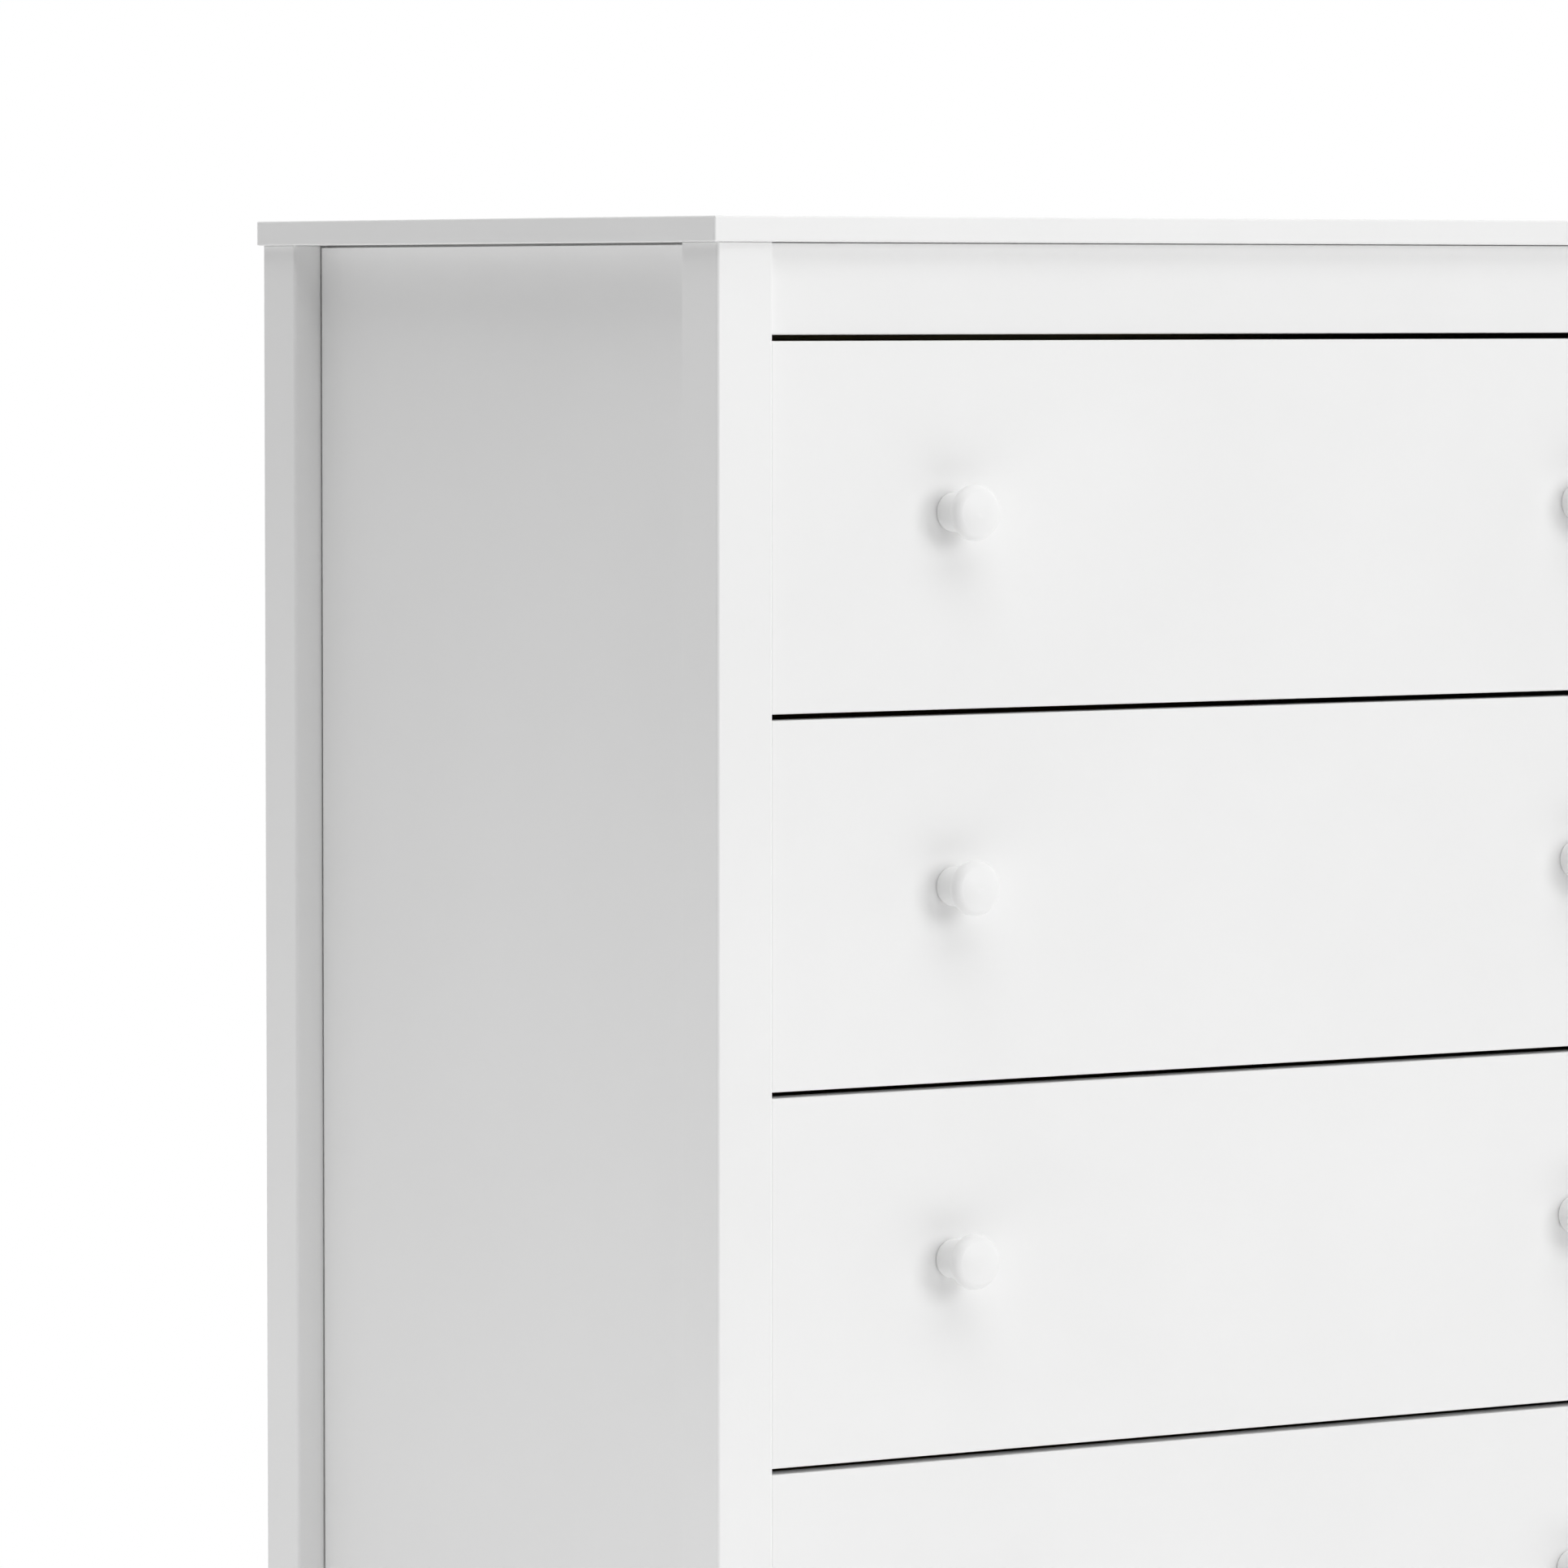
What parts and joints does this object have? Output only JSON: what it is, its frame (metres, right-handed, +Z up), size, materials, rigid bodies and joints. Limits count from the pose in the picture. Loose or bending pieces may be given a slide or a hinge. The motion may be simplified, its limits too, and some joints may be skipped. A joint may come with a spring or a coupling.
{
  "type": "tall chest of drawers",
  "caption": "Tall white chest of drawers with square corner posts, recessed side panels, and a stack of inset drawers with round knobs that roll on side slides.",
  "frame": {"origin": "on the floor, under the middle of the box that holds the whole chest", "axes": "+Z up, -Y out of the drawer fronts, +X to the right seen from the front"},
  "size_m": [0.738, 0.492, 1.18],
  "materials": {
    "painted_white": "satin white paint",
    "box_board": "clear matt lacquer on birch",
    "box_bottom": "white-faced thin board",
    "hardboard": "raw brown hardboard",
    "slide_steel": "white epoxy coating",
    "zinc_steel": "zinc plated",
    "nylon": "moulded"
  },
  "bodies": {
    "carcass": {"top_board": "painted_white", "front_left_post": "painted_white", "front_right_post": "painted_white", "back_left_post": "painted_white", "back_right_post": "painted_white", "left_side_panel": "painted_white", "right_side_panel": "painted_white", "back_panel": "hardboard", "top_front_rail": "painted_white", "bottom_front_rail": "painted_white", "top_back_rail": "box_board", "bottom_back_rail": "box_board", "foot_glides": "nylon", "cabinet_runners": "slide_steel", "carcass_fasteners": "zinc_steel"},
    "drawer_1": {"drawer_1_front": "painted_white", "drawer_1_sides": "box_board", "drawer_1_back": "box_board", "drawer_1_bottom": "box_bottom", "drawer_1_knobs": "painted_white", "drawer_1_screws": "zinc_steel", "drawer_1_runners": "slide_steel"},
    "rear_rollers_1": {"drawer_1_rollers": "nylon"},
    "front_rollers_1": {"cabinet_rollers_1": "nylon"},
    "drawer_2": {"drawer_2_front": "painted_white", "drawer_2_sides": "box_board", "drawer_2_back": "box_board", "drawer_2_bottom": "box_bottom", "drawer_2_knobs": "painted_white", "drawer_2_screws": "zinc_steel", "drawer_2_runners": "slide_steel"},
    "rear_rollers_2": {"drawer_2_rollers": "nylon"},
    "front_rollers_2": {"cabinet_rollers_2": "nylon"},
    "drawer_3": {"drawer_3_front": "painted_white", "drawer_3_sides": "box_board", "drawer_3_back": "box_board", "drawer_3_bottom": "box_bottom", "drawer_3_knobs": "painted_white", "drawer_3_screws": "zinc_steel", "drawer_3_runners": "slide_steel"},
    "rear_rollers_3": {"drawer_3_rollers": "nylon"},
    "front_rollers_3": {"cabinet_rollers_3": "nylon"},
    "drawer_4": {"drawer_4_front": "painted_white", "drawer_4_sides": "box_board", "drawer_4_back": "box_board", "drawer_4_bottom": "box_bottom", "drawer_4_knobs": "painted_white", "drawer_4_screws": "zinc_steel", "drawer_4_runners": "slide_steel"},
    "rear_rollers_4": {"drawer_4_rollers": "nylon"},
    "front_rollers_4": {"cabinet_rollers_4": "nylon"},
    "drawer_5": {"drawer_5_front": "painted_white", "drawer_5_sides": "box_board", "drawer_5_back": "box_board", "drawer_5_bottom": "box_bottom", "drawer_5_knobs": "painted_white", "drawer_5_screws": "zinc_steel", "drawer_5_runners": "slide_steel"},
    "rear_rollers_5": {"drawer_5_rollers": "nylon"},
    "front_rollers_5": {"cabinet_rollers_5": "nylon"}
  },
  "joints": [
    {"name": "drawer_1_slide", "type": "slide", "parent": "carcass", "child": "drawer_1", "axis": [0, -1, 0], "range_m": [0, 0.3]},
    {"name": "rear_rollers_1_spin", "type": "hinge", "parent": "drawer_1", "child": "rear_rollers_1", "pos_m": [0, 0.188, 0.94385], "axis": [1, 0, 0], "continuous": true},
    {"name": "front_rollers_1_spin", "type": "hinge", "parent": "carcass", "child": "front_rollers_1", "pos_m": [0, -0.188, 0.94385], "axis": [1, 0, 0], "continuous": true},
    {"name": "drawer_2_slide", "type": "slide", "parent": "carcass", "child": "drawer_2", "axis": [0, -1, 0], "range_m": [0, 0.3]},
    {"name": "rear_rollers_2_spin", "type": "hinge", "parent": "drawer_2", "child": "rear_rollers_2", "pos_m": [0, 0.188, 0.74385], "axis": [1, 0, 0], "continuous": true},
    {"name": "front_rollers_2_spin", "type": "hinge", "parent": "carcass", "child": "front_rollers_2", "pos_m": [0, -0.188, 0.74385], "axis": [1, 0, 0], "continuous": true},
    {"name": "drawer_3_slide", "type": "slide", "parent": "carcass", "child": "drawer_3", "axis": [0, -1, 0], "range_m": [0, 0.3]},
    {"name": "rear_rollers_3_spin", "type": "hinge", "parent": "drawer_3", "child": "rear_rollers_3", "pos_m": [0, 0.188, 0.54385], "axis": [1, 0, 0], "continuous": true},
    {"name": "front_rollers_3_spin", "type": "hinge", "parent": "carcass", "child": "front_rollers_3", "pos_m": [0, -0.188, 0.54385], "axis": [1, 0, 0], "continuous": true},
    {"name": "drawer_4_slide", "type": "slide", "parent": "carcass", "child": "drawer_4", "axis": [0, -1, 0], "range_m": [0, 0.3]},
    {"name": "rear_rollers_4_spin", "type": "hinge", "parent": "drawer_4", "child": "rear_rollers_4", "pos_m": [0, 0.188, 0.34385], "axis": [1, 0, 0], "continuous": true},
    {"name": "front_rollers_4_spin", "type": "hinge", "parent": "carcass", "child": "front_rollers_4", "pos_m": [0, -0.188, 0.34385], "axis": [1, 0, 0], "continuous": true},
    {"name": "drawer_5_slide", "type": "slide", "parent": "carcass", "child": "drawer_5", "axis": [0, -1, 0], "range_m": [0, 0.3]},
    {"name": "rear_rollers_5_spin", "type": "hinge", "parent": "drawer_5", "child": "rear_rollers_5", "pos_m": [0, 0.188, 0.14385], "axis": [1, 0, 0], "continuous": true},
    {"name": "front_rollers_5_spin", "type": "hinge", "parent": "carcass", "child": "front_rollers_5", "pos_m": [0, -0.188, 0.14385], "axis": [1, 0, 0], "continuous": true}
  ],
  "couplings": [
    {"joint": "rear_rollers_1_spin", "follows": "drawer_1_slide", "rad_per_m": 100},
    {"joint": "front_rollers_1_spin", "follows": "drawer_1_slide", "rad_per_m": 100},
    {"joint": "rear_rollers_2_spin", "follows": "drawer_2_slide", "rad_per_m": 100},
    {"joint": "front_rollers_2_spin", "follows": "drawer_2_slide", "rad_per_m": 100},
    {"joint": "rear_rollers_3_spin", "follows": "drawer_3_slide", "rad_per_m": 100},
    {"joint": "front_rollers_3_spin", "follows": "drawer_3_slide", "rad_per_m": 100},
    {"joint": "rear_rollers_4_spin", "follows": "drawer_4_slide", "rad_per_m": 100},
    {"joint": "front_rollers_4_spin", "follows": "drawer_4_slide", "rad_per_m": 100},
    {"joint": "rear_rollers_5_spin", "follows": "drawer_5_slide", "rad_per_m": 100},
    {"joint": "front_rollers_5_spin", "follows": "drawer_5_slide", "rad_per_m": 100}
  ]
}
